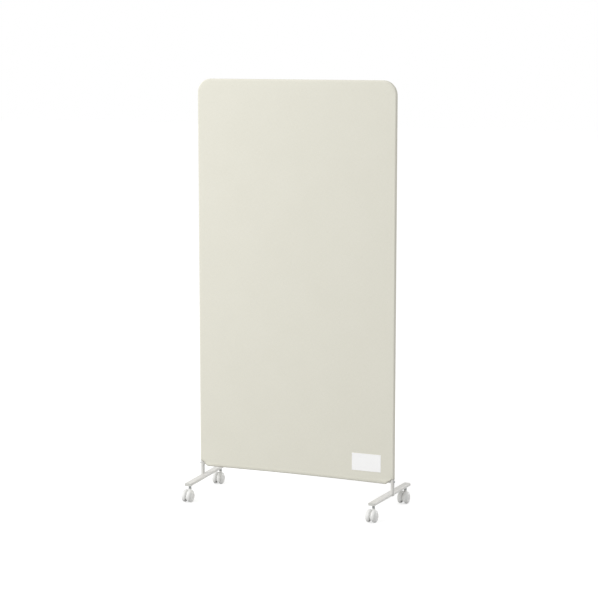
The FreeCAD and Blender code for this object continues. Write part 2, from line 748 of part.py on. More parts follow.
for side, sign in SIDES.items():
    upper_frame(side, sign)
    lower_post(side, sign)
    spigots(side, sign)
    leg_bar(side, sign)
    cover_side(side, sign)
    for end, direction in ENDS.items():
        leg_cap(side, sign, end, direction)
    group(f"leg_nuts_{side}", [stem_nut(side, sign, end, direction) for end, direction in ENDS.items()])
tube("top_rail", "YZ", "0", "rail_top_z", "-1 * top_joint_x", "2 * top_joint_x",
     "tube_radius", "tube_bore_radius")
bottom_rail()
group("rail_plugs", [rail_plug(side, sign) for side, sign in SIDES.items()])
group("rail_screws", [rail_screw(side, sign) for side, sign in SIDES.items()])
group("foot_plugs", [foot_plug(side, sign) for side, sign in SIDES.items()])
cover_panel("cover_front", "cloth_inner")
cover_panel("cover_back", "-1 * cloth_outer")
cover_top()
cover_flap()
label_tag()
group("stem_clips", [caster(f"{end}_{side}", *stem_place(sign, direction))
                     for end, direction in ENDS.items() for side, sign in SIDES.items()])

doc.recompute()
for thing in doc.Objects:
    if "Invalid" in thing.State or "Error" in thing.State:
        raise RuntimeError(f"{thing.Name} failed: {thing.State}")
for piece in SUBPARTS:
    if piece.Shape.isNull() or not piece.Shape.isValid():
        raise RuntimeError(f"{piece.Label} has no valid shape")

os.makedirs("parts", exist_ok=True)
for piece in SUBPARTS:
    piece.Shape.exportStep(f"parts/{piece.Label}.step")
    print(f"{piece.Label}: {len(piece.Shape.Solids)} solids, {piece.Shape.Volume:.1f} mm3")
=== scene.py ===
# Free-standing partition screen: a cream cloth cover over a bent tube frame, on two flat legs
# with twin-wheel casters. Metres, +Z up, -Y towards the face with the sewn label.

import json
import math

import bmesh
import bpy
from bpy.props import FloatProperty, FloatVectorProperty, IntProperty, PointerProperty
from mathutils import Matrix, Vector


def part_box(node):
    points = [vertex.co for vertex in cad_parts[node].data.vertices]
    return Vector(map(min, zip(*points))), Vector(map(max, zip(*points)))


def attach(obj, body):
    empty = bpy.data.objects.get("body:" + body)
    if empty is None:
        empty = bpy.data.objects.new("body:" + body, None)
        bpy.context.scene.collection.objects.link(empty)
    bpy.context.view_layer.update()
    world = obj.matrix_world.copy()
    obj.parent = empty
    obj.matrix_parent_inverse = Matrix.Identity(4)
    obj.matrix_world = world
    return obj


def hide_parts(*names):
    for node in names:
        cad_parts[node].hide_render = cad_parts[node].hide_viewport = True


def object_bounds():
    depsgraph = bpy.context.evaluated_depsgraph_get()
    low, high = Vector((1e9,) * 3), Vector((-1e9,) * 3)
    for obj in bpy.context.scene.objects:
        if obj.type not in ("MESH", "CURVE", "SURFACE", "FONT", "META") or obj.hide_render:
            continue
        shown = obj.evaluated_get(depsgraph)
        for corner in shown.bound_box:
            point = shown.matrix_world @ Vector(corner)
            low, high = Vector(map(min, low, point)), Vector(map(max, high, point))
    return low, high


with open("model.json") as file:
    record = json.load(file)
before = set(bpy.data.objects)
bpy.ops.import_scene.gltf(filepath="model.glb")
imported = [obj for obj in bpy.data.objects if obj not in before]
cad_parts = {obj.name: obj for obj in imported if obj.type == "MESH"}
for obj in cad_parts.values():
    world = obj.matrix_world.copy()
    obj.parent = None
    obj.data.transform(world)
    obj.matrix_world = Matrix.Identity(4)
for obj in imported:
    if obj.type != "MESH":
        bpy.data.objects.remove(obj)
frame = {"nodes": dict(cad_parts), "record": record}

bl_info = {
    "name": "Partition screen",
    "version": (1, 0, 0),
    "blender": (4, 5, 0),
    "location": "3D View > Sidebar > Screen",
    "description": "Dresses a cloth-covered partition screen over its packed frame",
    "category": "Object",
}

SIDES = {"left": -1, "right": 1}
ENDS = {"front": -1, "rear": 1}
CORNERS = [f"{end}_{side}" for end in ENDS for side in SIDES]
WHEELS = [(corner, hand) for corner in CORNERS for hand in SIDES]

# Where the cover runs, read from the solids that hold its place.
CAD_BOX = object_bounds()
POST_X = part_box("cover_front")[1].x
HEM_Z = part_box("cover_front")[0].z
NOTCH_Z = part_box("cover_side_right")[0].z
HEM_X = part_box("cover_flap")[1].x
HALF_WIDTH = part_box("cover_side_right")[1].x
HALF_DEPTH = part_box("cover_side_right")[1].y
TOP_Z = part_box("cover_top")[1].z
BEND_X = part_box("cover_top")[1].x
BEND_Z = TOP_Z - (HALF_WIDTH - BEND_X)
BEND_RADIUS = POST_X - BEND_X
TUBE_REACH = HALF_WIDTH - POST_X

# Places nearer than SLACK count as one, and cuts and poles are drawn together within SNAP, in metres.
SLACK = 1e-5
SNAP = 1e-6
# Parts of a face's normal past which it counts as square to an axis, and as looking down.
SQUARE = 0.9
DOWNWARD = -0.7
# Edges that fold more than this are shaded sharp.
SHARP_ANGLE = math.radians(35)
# Steps across a softened edge, and across a small round corner.
EDGE_STEPS = 2
CORNER_STEPS = 4
# Sides and rings of one stitch, few because the screen has thousands.
STITCH_SIDES = 6
STITCH_RINGS = 4
# Colour sockets of a Mix node, whose names other types of the node share.
MIX_FIRST, MIX_SECOND, MIX_RESULT = 6, 7, 2
MILLIMETRE = 0.001
SENSOR_WIDTH = 36.0

# Outline of one fender in metres: how far it lies below the hood's top at places counted
# from the middle of the groove outwards, and then at places counted in from the hood's side.
FENDER_CROWN = ((0.0, 0.0090), (0.0015, 0.0090), (0.0019, 0.0062), (0.0027, 0.0037), (0.0039, 0.0019),
                (0.0055, 0.0007), (0.0076, 0.0001), (0.0100, 0.0), (0.0128, 0.0003), (0.0155, 0.0011))
FENDER_RIM = ((0.0016, 0.0024), (0.0, 0.0042), (0.0011, 0.0037))


def linear(code):
    """Turn an sRGB hex colour into the linear red, green and blue that shaders read."""
    channels = [int(code[i:i + 2], 16) / 255 for i in (0, 2, 4)]
    return [c / 12.92 if c <= 0.04045 else ((c + 0.055) / 1.055) ** 2.4 for c in channels]


def length(name, description, default):
    """A size property in metres."""
    return FloatProperty(name=name, description=description, default=default, min=0.0,
                         precision=5, unit="LENGTH", subtype="DISTANCE")


def degrees(name, description, default):
    """An angle property, given in degrees."""
    return FloatProperty(name=name, description=description, default=math.radians(default),
                         unit="ROTATION", subtype="ANGLE")


def position(name, description, default):
    """A place property in metres."""
    return FloatVectorProperty(name=name, description=description, default=default, size=3,
                               unit="LENGTH", subtype="TRANSLATION")


def watts(name, description, default):
    """A property for a lamp's power."""
    return FloatProperty(name=name, description=description, default=default, min=0.0, unit="POWER")


def number(name, description, default):
    """A property that has no unit."""
    return FloatProperty(name=name, description=description, default=default, min=0.0)


def tally(name, description, default):
    """A property that counts steps or sides."""
    return IntProperty(name=name, description=description, default=default, min=2, max=256)


def colour(name, description, code):
    """A colour property, given as sRGB hex."""
    return FloatVectorProperty(name=name, description=description, default=linear(code),
                               size=3, min=0.0, max=1.0, subtype="COLOR")


class CoverSizes(bpy.types.PropertyGroup):
    """Sizes of the cloth cover"""
    cloth: length("Cloth thickness", "Thickness of the woven cloth", 0.0006)
    seam_width: length("Seam width", "Width of the sewn groove round the edge", 0.0016)
    seam_depth: length("Seam depth", "How far the seam is drawn in", 0.0005)
    fold_radius: length("Fold radius", "Radius of the folded bottom edge", 0.0045)
    hem_depth: length("Hem depth", "Height of the turned hem", 0.014)
    hem_rise: length("Hem rise", "How far the doubled cloth of the hem stands out", 0.0005)
    hem_bow: length("Hem bow", "How far the tight hem is drawn up in the middle", 0.0035)
    hem_fade: length("Hem bow height", "Height over which the draw of the hem dies out", 0.26)
    grid: length("Mesh step", "Distance between the panels' cross lines", 0.03)
    corner_steps: tally("Corner steps", "Steps round a top corner", 14)
    rim_steps: tally("Rim steps", "Steps from a panel round to the seam", 7)


class SewingSizes(bpy.types.PropertyGroup):
    """Sizes of the stitches and of the overlocked edge"""
    pitch: length("Stitch pitch", "Distance from stitch to stitch", 0.0036)
    stitch: length("Stitch length", "Visible length of one stitch", 0.0027)
    thread: length("Thread diameter", "Diameter of the sewing thread", 0.0005)
    seam_offset: length("Topstitch offset", "Distance of the topstitch from the edge seam", 0.0042)
    hem_offset: length("Hem stitch height", "Distance of the hem stitch below the hem's top", 0.002)
    notch_offset: length("Notch stitch offset", "Distance of the stitch from the cut-away edge", 0.005)
    label_offset: length("Label stitch offset", "Distance of the stitch from the label's edge", 0.003)
    edge_pitch: length("Overlock pitch", "Distance between the overlock's loops", 0.0015)
    edge_thread: length("Overlock thread", "Width of one loop along the edge", 0.0014)
    edge_width: length("Overlock width", "Width of the overlocked edge", 0.0032)
    edge_rise: length("Overlock rise", "Thickness of the overlocked edge", 0.0013)
    edge_angle: degrees("Overlock angle", "How far below level the hem's overlocked edge looks", 60)


class LabelSizes(bpy.types.PropertyGroup):
    """Sizes of the sewn label"""
    thickness: length("Label thickness", "Thickness of the doubled label cloth", 0.0005)
    turned_edge: length("Turned edge", "Width of the label's turned edge", 0.005)
    turned_rise: length("Turned edge rise", "How far the turned edge stands out", 0.0003)
    corner: length("Label corner", "Radius of the label's corners", 0.0012)
    edge_bevel: length("Label edge softness", "Roundness of the label's edges", 0.0002)


class FootSizes(bpy.types.PropertyGroup):
    """Sizes of the weld beads and the casters"""
    weld_radius: length("Weld bead", "Radius of the weld bead between post and leg", 0.0016)
    weld_ripple: number("Weld ripple", "Share by which the bead swells and narrows", 0.12)
    weld_ripples: tally("Weld ripples", "Ripples in a full turn of the bead", 34)
    weld_opening: degrees("Weld opening", "Half of the angle that the bead leaves free beside the leg", 70)
    weld_steps: tally("Weld steps", "Steps along a weld bead", 60)
    weld_sides: tally("Weld sides", "Sides of a weld bead", 8)
    tread_round: length("Wheel inner edge", "Rounding of a wheel's inner edge", 0.0043)
    dome_width: length("Wheel dome width", "Width of a wheel's domed part", 0.0095)
    dome_rise: length("Wheel dome fall", "How far the domed part falls from the tread", 0.0115)
    dome_steps: tally("Dome steps", "Steps across a wheel's domed part", 8)
    rim_wall: length("Wheel rim wall", "Thickness of the rim round the inner recess", 0.005)
    recess_depth: length("Wheel recess", "Depth of the recess in a wheel's inner face", 0.0095)
    hub_radius: length("Hub radius", "Radius of a wheel's hub inside", 0.0075)
    dish_depth: length("Wheel dish", "Depth of the dish in a wheel's outer face", 0.001)
    dish_radius: length("Dish radius", "Radius of the dish in a wheel's outer face", 0.011)
    cap_radius: length("Hub cap", "Radius of the boss in the middle of the dish", 0.007)
    wheel_steps: tally("Wheel steps", "Steps in a full turn of a wheel", 72)
    soft_edge: length("Moulded edge", "Rounding of moulded edges", 0.0006)
    fender_wall: length("Fender wall", "Wall of a caster's hood over the wheels", 0.0022)
    fender_lip: length("Fender lip", "Distance from the hood's side to the fender's inner wall", 0.0048)
    web: length("Hood web", "Width of the web between the wheels", 0.012)
    web_rise: length("Web hub", "How far the web's hub stands out past a wheel's hub", 0.0004)
    web_steps: tally("Web hub steps", "Steps in a full turn of the web's hub", 36)
    hood_rear: degrees("Hood rear end", "Angle of the hood's rear end above the axle", -5)
    hood_sweep: degrees("Hood sweep", "Angle that the hood covers, from rear to front", 210)
    hood_steps: tally("Hood steps", "Steps along the hood, from rear to front", 54)
    boss_wall: length("Boss wall", "Wall of the hood's boss round the stem", 0.0022)
    boss_steps: tally("Boss steps", "Steps in a full turn of the boss", 48)


class ScreenColours(bpy.types.PropertyGroup):
    """Colours of the screen and of the floor and background"""
    cloth: colour("Cloth", "Cream cloth of the cover", "E7E5D9")
    cloth_dark: colour("Cloth, shaded yarn", "Darker yarns of the cover", "DDDBCD")
    label: colour("Label", "White cloth of the label", "FFFFFF")
    thread: colour("Thread", "Sewing thread", "DAD8C8")
    # A real overlocked edge, but its thread is darker than the cloth so that it paints the shade line
    # under the hem's fold and along the cut-away edges.
    overlock: colour("Overlock thread", "Thread round the cover's lower edge", "A9A697")
    enamel: colour("Enamel", "Baked enamel of the tubes and legs", "DFDEDA")
    zinc: colour("Zinc", "Zinc plate of stems, axles and screws", "9FA1A1")
    polyethylene: colour("Caps", "Moulded end caps", "D2D2CD")
    nylon: colour("Nylon", "Moulded hoods and wheels", "F0F0EE")
    acetal: colour("Acetal", "Swivel bushes", "E9E7DF")
    backdrop: colour("Backdrop", "Floor and background", "FFFFFF")


class StageSettings(bpy.types.PropertyGroup):
    """Camera, lamps and floor"""
    camera_place: position("Camera place", "Where the camera stands", (2.97443, -6.95375, 1.98141))
    camera_turn: degrees("Camera turn", "Turn of the camera to the left", 23.049)
    camera_tilt: degrees("Camera tilt", "Tilt of the camera below the horizon", 8.297)
    lens: FloatProperty(name="Lens", description="Focal length on a 36 mm wide sensor",
                        default=108.79, min=10.0, unit="CAMERA", subtype="DISTANCE_CAMERA")
    ambient: number("Ambient light", "Strength of the even light around", 0.73)
    key_power: watts("Key lamp", "Power of the large lamp", 201.0)
    key_place: position("Key lamp place", "Where the large lamp hangs", (-3.8, -4.2, 3.65))
    key_width: length("Key lamp width", "Width of the large lamp", 2.4)
    fill_power: watts("Fill lamp", "Power of the soft lamp behind", 60.0)
    fill_place: position("Fill lamp place", "Where the soft lamp stands", (2.6, 4.6, 1.2))
    fill_width: length("Fill lamp width", "Width of the soft lamp", 1.4)
    floor_reach: length("Floor reach", "Distance from the middle of the floor to its edge", 30.0)
    floor_tone: number("Floor tone", "Share of the light on it that the floor gives back", 0.5)
    floor_glow: number("Floor glow", "Light that the camera sees added to the floor", 0.64)


def sizes():
    """The scene's property groups."""
    return bpy.context.scene.partition_screen


class ScreenSettings(bpy.types.PropertyGroup):
    """All of the screen's settings, one group for each kind of piece"""
    cover: PointerProperty(type=CoverSizes, name="Cover", description="Sizes of the cover")
    sewing: PointerProperty(type=SewingSizes, name="Sewing", description="Sizes of the stitching")
    label: PointerProperty(type=LabelSizes, name="Label", description="Sizes of the sewn label")
    feet: PointerProperty(type=FootSizes, name="Feet", description="Sizes of welds and casters")
    colours: PointerProperty(type=ScreenColours, name="Colours", description="Colours of the finishes")
    stage: PointerProperty(type=StageSettings, name="Stage", description="Camera and light")


# Meshes and objects

def finished_piece(bm, name, body, finish, replaces=()):
    """Turn a bmesh into a smooth-shaded object that rides on a body."""
    bmesh.ops.recalc_face_normals(bm, faces=bm.faces)
    mesh = bpy.data.meshes.new(name)
    bm.to_mesh(mesh)
    bm.free()
    mesh.shade_smooth()
    mesh.set_sharp_from_angle(angle=SHARP_ANGLE)
    piece = bpy.data.objects.new(name, mesh)
    bpy.context.scene.collection.objects.link(piece)
    mesh.materials.append(finish)
    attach(piece, body)
    if replaces:
        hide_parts(*replaces)
    return piece


def everything(bm):
    """All of a bmesh's elements, as its cutting operators take them."""
    return bm.verts[:] + bm.edges[:] + bm.faces[:]


def cut(bm, place, normal):
    """Score a mesh along a plane."""
    bmesh.ops.bisect_plane(bm, geom=everything(bm), dist=SNAP, plane_co=place, plane_no=normal)


def round_edges(bm, edges, radius, segments):
    """Round a chain of edges."""
    bmesh.ops.bevel(bm, geom=edges, offset=radius, segments=segments, profile=0.5,
                    affect="EDGES", material=-1, clamp_overlap=True)


def steps(low, high, step):
    """Evenly spaced places between two ends, without the ends."""
    count = max(1, round((high - low) / step))
    return [low + (high - low) * i / count for i in range(1, count)]


# Shader nodes

def add_node(tree, kind, settings=None, inputs=None):
    """Add a node with its options, and give its inputs a value or the socket that feeds them."""
    node = tree.nodes.new(kind)
    for name, value in (settings or {}).items():
        setattr(node, name, value)
    for name, value in (inputs or {}).items():
        if isinstance(value, bpy.types.NodeSocket):
            tree.links.new(value, node.inputs[name])
        else:
            node.inputs[name].default_value = value
    return node


def start_material(name, settings):
    """A new material with one shader."""
    material = bpy.data.materials.new(name)
    material.use_nodes = True
    tree = material.node_tree
    tree.nodes.clear()
    shader = add_node(tree, "ShaderNodeBsdfPrincipled", {}, settings)
    add_node(tree, "ShaderNodeOutputMaterial", {}, {"Surface": shader.outputs["BSDF"]})
    return material, tree, shader


def rgba(values):
    """A colour as a shader's socket takes it."""
    return (*values, 1.0)


def per_metre(millimetres):
    """Scale of a noise whose grains are about this wide."""
    return 1 / (millimetres * MILLIMETRE)


def wave_scale(millimetres):
    """Scale of a wave texture whose bands are this far apart; its own bands are pi / 10 apart."""
    return math.pi / 10 / (millimetres * MILLIMETRE)


def threads(tree, place, spacing, direction):
    """A smooth rise and fall for each thread in one direction, from -1 to 1."""
    wave = add_node(tree, "ShaderNodeTexWave", {"bands_direction": direction, "wave_profile": "SIN"},
                    {"Vector": place, "Scale": wave_scale(spacing)})
    return add_node(tree, "ShaderNodeMath", {"operation": "MULTIPLY_ADD"},
                    {0: wave.outputs["Fac"], 1: 2.0, 2: -1.0}).outputs[0]


def woven_polyester(colours):
    """Plain-woven polyester, heat-set tight: dull and even, with a fine grid of threads.

    The real threads are 0.4 mm apart; they are drawn 2.6 mm apart so that the grid shows.
    """
    thread_spacing, slub_width, slub_length, cloud = 2.6, 1.2, 14.0, 160.0
    # How much the weave and the clouds count in the tone, and the yarns in the relief.
    weave_tone, cloud_tone, yarn_relief = 0.12, 0.3, 0.5
    material, tree, shader = start_material("woven_polyester", {
        "Roughness": 0.82, "Specular IOR Level": 0.35, "Sheen Weight": 0.12, "Sheen Roughness": 0.45})
    place = add_node(tree, "ShaderNodeUVMap", {"uv_map": "cut"}).outputs["UV"]
    weave = add_node(tree, "ShaderNodeMath", {"operation": "MULTIPLY"},
                     {0: threads(tree, place, thread_spacing, "X"),
                      1: threads(tree, place, thread_spacing, "Y")}).outputs[0]
    slubs = []
    for stretch in ((per_metre(slub_width), per_metre(slub_length), 1.0),
                    (per_metre(slub_length), per_metre(slub_width), 1.0)):
        along = add_node(tree, "ShaderNodeMapping", {}, {"Vector": place, "Scale": stretch})
        slubs.append(add_node(tree, "ShaderNodeTexNoise", {}, {
            "Vector": along.outputs[0], "Scale": 1.0, "Detail": 3.0, "Roughness": 0.6}).outputs["Fac"])
    yarns = add_node(tree, "ShaderNodeMath", {"operation": "ADD"}, {0: slubs[0], 1: slubs[1]}).outputs[0]
    clouds = add_node(tree, "ShaderNodeTexNoise", {}, {
        "Vector": place, "Scale": per_metre(cloud), "Detail": 2.0}).outputs["Fac"]
    tone = add_node(tree, "ShaderNodeMath", {"operation": "MULTIPLY_ADD"},
                    {0: weave, 1: weave_tone, 2: yarns}).outputs[0]
    tone = add_node(tree, "ShaderNodeMath", {"operation": "MULTIPLY_ADD"},
                    {0: clouds, 1: cloud_tone, 2: tone}).outputs[0]
    share = add_node(tree, "ShaderNodeMapRange", {}, {
        "Value": tone, "From Min": 0.75, "From Max": 1.6, "To Min": 0.0, "To Max": 1.0}).outputs[0]
    mixed = add_node(tree, "ShaderNodeMix", {"data_type": "RGBA"}, {
        "Factor": share, MIX_FIRST: rgba(colours.cloth), MIX_SECOND: rgba(colours.cloth_dark)})
    tree.links.new(mixed.outputs[MIX_RESULT], shader.inputs["Base Color"])
    height = add_node(tree, "ShaderNodeMath", {"operation": "MULTIPLY_ADD"},
                      {0: yarns, 1: yarn_relief, 2: weave}).outputs[0]
    bump = add_node(tree, "ShaderNodeBump", {}, {
        "Height": height, "Strength": 0.35, "Distance": 0.12 * MILLIMETRE})
    tree.links.new(bump.outputs[0], shader.inputs["Normal"])
    return material


def woven_tag(colours):
    """Satin-woven polyester tag: whiter, finer and a little glossier than the cover.

    Its real ribs are 0.2 mm apart; they are drawn 0.9 mm apart so that they show.
    """
    rib_spacing, fibre = 0.9, 0.7
    material, tree, shader = start_material("woven_tag", {
        "Base Color": rgba(colours.label), "Specular IOR Level": 0.45, "Sheen Weight": 0.1})
    place = add_node(tree, "ShaderNodeTexCoord").outputs["Object"]
    ribs = threads(tree, place, rib_spacing, "Z")
    fuzz = add_node(tree, "ShaderNodeTexNoise", {}, {
        "Vector": place, "Scale": per_metre(fibre), "Detail": 3.0}).outputs["Fac"]
    gloss = add_node(tree, "ShaderNodeMapRange", {}, {
        "Value": fuzz, "To Min": 0.5, "To Max": 0.68}).outputs[0]
    tree.links.new(gloss, shader.inputs["Roughness"])
    height = add_node(tree, "ShaderNodeMath", {"operation": "ADD"}, {0: ribs, 1: fuzz}).outputs[0]
    bump = add_node(tree, "ShaderNodeBump", {}, {
        "Height": height, "Strength": 0.3, "Distance": 0.08 * MILLIMETRE})
    tree.links.new(bump.outputs[0], shader.inputs["Normal"])
    return material


def spun_thread(name, tone):
    """Twisted polyester sewing thread: soft sheen, fine fuzz."""
    twist = 0.35
    material, tree, shader = start_material(name, {
        "Base Color": rgba(tone), "Roughness": 0.6, "Sheen Weight": 0.2})
    place = add_node(tree, "ShaderNodeTexCoord").outputs["Object"]
    fuzz = add_node(tree, "ShaderNodeTexNoise", {}, {
        "Vector": place, "Scale": per_metre(twist), "Detail": 2.0}).outputs["Fac"]
    bump = add_node(tree, "ShaderNodeBump", {}, {
        "Height": fuzz, "Strength": 0.5, "Distance": 0.05 * MILLIMETRE})
    tree.links.new(bump.outputs[0], shader.inputs["Normal"])
    return material


def darker(tone, share):
    """A colour at a share of its brightness."""
    return [value * share for value in tone]


def grained(name, tone, shade, gloss, grain, grain_depth, patch, settings):
    """A hard surface whose tone drifts in patches and whose skin has a fine grain.

    shade is how dark the patches go, and gloss its range of roughness; grain, grain_depth and
    patch are in millimetres.
    """
    material, tree, shader = start_material(name, settings)
    place = add_node(tree, "ShaderNodeTexCoord").outputs["Object"]
    patches = add_node(tree, "ShaderNodeTexNoise", {}, {
        "Vector": place, "Scale": per_metre(patch), "Detail": 4.0, "Roughness": 0.6}).outputs["Fac"]
    skin = add_node(tree, "ShaderNodeTexNoise", {}, {
        "Vector": place, "Scale": per_metre(grain), "Detail": 2.0}).outputs["Fac"]
    drift = add_node(tree, "ShaderNodeMapRange", {}, {
        "Value": patches, "From Min": 0.35, "From Max": 0.7}).outputs[0]
    mixed = add_node(tree, "ShaderNodeMix", {"data_type": "RGBA"}, {
        "Factor": drift, MIX_FIRST: rgba(tone), MIX_SECOND: rgba(darker(tone, shade))})
    tree.links.new(mixed.outputs[MIX_RESULT], shader.inputs["Base Color"])
    shine = add_node(tree, "ShaderNodeMapRange", {}, {
        "Value": patches, "To Min": gloss[0], "To Max": gloss[1]}).outputs[0]
    tree.links.new(shine, shader.inputs["Roughness"])
    bump = add_node(tree, "ShaderNodeBump", {}, {
        "Height": skin, "Strength": 0.4, "Distance": grain_depth * MILLIMETRE})
    tree.links.new(bump.outputs[0], shader.inputs["Normal"])
    return material


def make_finishes(colours):
    """Every finish of the screen, by the name of its slot in the record."""
    return {
        "cover_cloth": woven_polyester(colours),
        "label_cloth": woven_tag(colours),
        "thread": spun_thread("spun_thread", colours.thread),
        # Overlock thread: real stitching whose dark tone is painted shade, the shade line under the hem's
        # fold.
        "overlock": spun_thread("overlock_thread_painted_shade", colours.overlock),
        # Baked powder enamel: satin, with a faint orange peel a millimetre or two across.
        "frame_enamel": grained("baked_enamel", colours.enamel, shade=0.96, gloss=(0.32, 0.45),
                                grain=1.6, grain_depth=0.03, patch=30.0, settings={"IOR": 1.5}),
        # Bright zinc plate on turned steel: grey, finely clouded.
        "zinc_steel": grained("zinc_plate", colours.zinc, shade=0.85, gloss=(0.28, 0.5),
                              grain=0.5, grain_depth=0.02, patch=4.0, settings={"Metallic": 1.0}),
        # Moulded polyethylene caps: dull, slightly waxy.
        "cap_plastic": grained("moulded_polyethylene", colours.polyethylene, shade=0.96, gloss=(0.45, 0.6),
                               grain=0.8, grain_depth=0.03, patch=10.0, settings={"IOR": 1.51}),
        # Moulded nylon of hoods and wheels: satin, finely sparked, in places a little duller.
        "caster_nylon": grained("moulded_nylon", colours.nylon, shade=0.95, gloss=(0.38, 0.55),
                                grain=0.6, grain_depth=0.03, patch=9.0, settings={"IOR": 1.53}),
        # Turned acetal bush: slick and even.
        "bush_plastic": grained("turned_acetal", colours.acetal, shade=0.97, gloss=(0.25, 0.35),
                                grain=0.4, grain_depth=0.01, patch=6.0, settings={"IOR": 1.48}),
    }


FINISHES = {}


def finish_for(slot):
    """The finish of a slot, made the first time that it is asked for."""
    if not FINISHES:
        FINISHES.update(make_finishes(sizes().colours))
    return FINISHES[slot]


# Cloth cover

def developed(point):
    """Where a point of the cover lay on the flat cloth, in metres across and up."""
    out = Vector((max(abs(point.x) - BEND_X, 0.0), max(point.z - BEND_Z, 0.0)))
    reach = out.length - BEND_RADIUS
    flat = Vector((abs(point.x), point.z))
    if reach > 0:
        flat += out.normalized() * (TUBE_REACH * math.atan2(reach, abs(point.y)) - reach)
    return math.copysign(flat.x, point.x), flat.y


def notch_height(x):
    """Lower edge of the cover at a distance from its middle, past the straight hem."""
    rise = (abs(x) - HEM_X) / (POST_X - HEM_X)
    return HEM_Z + (NOTCH_Z - HEM_Z) * min(max(rise, 0.0), 1.0)


def cover_mesh(cover):
    """One closed bag of cloth: a flat slab with round edges, open at its cut-away corners."""
    bm = bmesh.new()
    middle = Matrix.Translation((0, 0, (HEM_Z + TOP_Z) / 2))
    extent = Matrix.Diagonal((2 * HALF_WIDTH, 2 * HALF_DEPTH, TOP_Z - HEM_Z, 1))
    bmesh.ops.create_cube(bm, size=1.0, matrix=middle @ extent)
    corners = [e for e in bm.edges if all(v.co.z > TOP_Z - SLACK for v in e.verts)
               and abs(e.verts[0].co.x - e.verts[1].co.x) < SLACK]
    round_edges(bm, corners, HALF_WIDTH - BEND_X, cover.corner_steps)
    rim = [e for e in bm.edges if abs(e.verts[0].co.y - e.verts[1].co.y) < SLACK
           and max(v.co.z for v in e.verts) > HEM_Z + SLACK and e.is_manifold
           and abs(abs(e.link_faces[0].normal.y) - abs(e.link_faces[1].normal.y)) > SQUARE]
    round_edges(bm, rim, HALF_DEPTH - cover.seam_width / 2, cover.rim_steps)
    bottom = [e for e in bm.edges if all(v.co.z < HEM_Z + SLACK for v in e.verts)]
    round_edges(bm, bottom, cover.fold_radius, CORNER_STEPS)

    seam = [f for f in bm.faces
            if abs(f.calc_center_median().y) < cover.seam_width / 4 and f.normal.z > DOWNWARD]
    bmesh.ops.inset_region(bm, faces=seam, thickness=cover.seam_width / 8, depth=-cover.seam_depth,
                           use_boundary=False, use_even_offset=True)

    hem_top = HEM_Z + cover.hem_depth
    flat_x = POST_X - cover.seam_width
    for x in steps(-HEM_X, HEM_X, cover.grid) + [-HEM_X, HEM_X, -flat_x, flat_x, -POST_X, POST_X]:
        cut(bm, (x, 0, 0), (1, 0, 0))
    for z in steps(NOTCH_Z, BEND_Z, cover.grid) + [NOTCH_Z, BEND_Z, hem_top, hem_top + cover.hem_rise]:
        cut(bm, (0, 0, z), (0, 0, 1))
    for sign in SIDES.values():
        slope = Vector((POST_X - HEM_X, 0, NOTCH_Z - HEM_Z))
        cut(bm, (sign * HEM_X, 0, HEM_Z), (-slope.z * sign, 0, slope.x))
    notch = [f for f in bm.faces if abs(f.calc_center_median().x) > HEM_X + SLACK
             and f.calc_center_median().z < notch_height(f.calc_center_median().x) + SLACK]
    bmesh.ops.delete(bm, geom=notch, context="FACES")

    for vert in bm.verts:
        doubled = vert.co.z < hem_top + SLACK and abs(vert.co.y) > HALF_DEPTH - SLACK
        if doubled and abs(vert.co.x) < HEM_X + SLACK:
            vert.co.y += math.copysign(cover.hem_rise, vert.co.y)
        vert.co.z += hem_lift(vert.co.x, vert.co.z - HEM_Z)
    return bm


def lay_out_cut(bm):
    """Give the cover the map of its flat cut, front and back side by side."""
    layer = bm.loops.layers.uv.new("cut")
    back_shift = 2 * (HALF_WIDTH + TUBE_REACH)
    for face in bm.faces:
        back = face.calc_center_median().y > 0
        under = face.normal.z < DOWNWARD
        for loop in face.loops:
            across, up = developed(loop.vert.co)
            if under:
                up -= HALF_DEPTH - abs(loop.vert.co.y)
            loop[layer].uv = (across + back_shift * back, up)


class SCREEN_OT_cover(bpy.types.Operator):
    """Make the cloth cover that is pulled over the frame"""
    bl_idname = "partition_screen.cover"
    bl_label = "Cloth cover"

    def execute(self, context):
        cover = sizes().cover
        bm = cover_mesh(cover)
        bmesh.ops.recalc_face_normals(bm, faces=bm.faces)
        lay_out_cut(bm)
        piece = finished_piece(bm, "cloth_cover", "screen", finish_for("cover_cloth"),
                               replaces=("cover_front", "cover_back", "cover_side_left",
                                         "cover_side_right", "cover_top", "cover_flap"))
        wall = piece.modifiers.new("cloth", "SOLIDIFY")
        wall.thickness = cover.cloth
        wall.offset = -1
        wall.use_even_offset = True
        return {"FINISHED"}


# Stitching

def sew(bm, stitch, run, place):
    """A row of stitches, half sunk in the cloth.

    A stitch is its pitch and its size along, across and above the row, and place turns a point
    (along, across, above) of the straight row into a point of the cloth.
    """
    wanted_pitch, along, across, above = stitch
    count = max(1, round(run / wanted_pitch))
    pitch = run / count
    shape = Matrix.Diagonal((along / 2, across / 2, above / 2, 1))
    row = bmesh.ops.create_uvsphere(bm, u_segments=STITCH_SIDES, v_segments=STITCH_RINGS, radius=1.0,
                                    matrix=Matrix.Translation((pitch / 2, 0, 0)) @ shape)["verts"]
    laid = 1
    while laid < count:
        more = min(laid, count - laid)
        part = [v for v in row if v.co.x < more * pitch]
        linked = {item for v in part for item in (*v.link_edges, *v.link_faces)}
        copy = bmesh.ops.duplicate(bm, geom=part + list(linked))["geom"]
        copy = [item for item in copy if isinstance(item, bmesh.types.BMVert)]
        bmesh.ops.translate(bm, verts=copy, vec=(laid * pitch, 0, 0))
        row += copy
        laid += more
    for vert in row:
        vert.co = place(vert.co)


def topstitch():
    """Pitch of a plain stitch, and its size along, across and above the row."""
    sewing = sizes().sewing
    return sewing.pitch, sewing.stitch, sewing.thread, sewing.thread


def overlock():
    """Pitch of the overlock's loops, and their size along, across and above the edge."""
    sewing = sizes().sewing
    return sewing.edge_pitch, sewing.edge_thread, sewing.edge_width, sewing.edge_rise


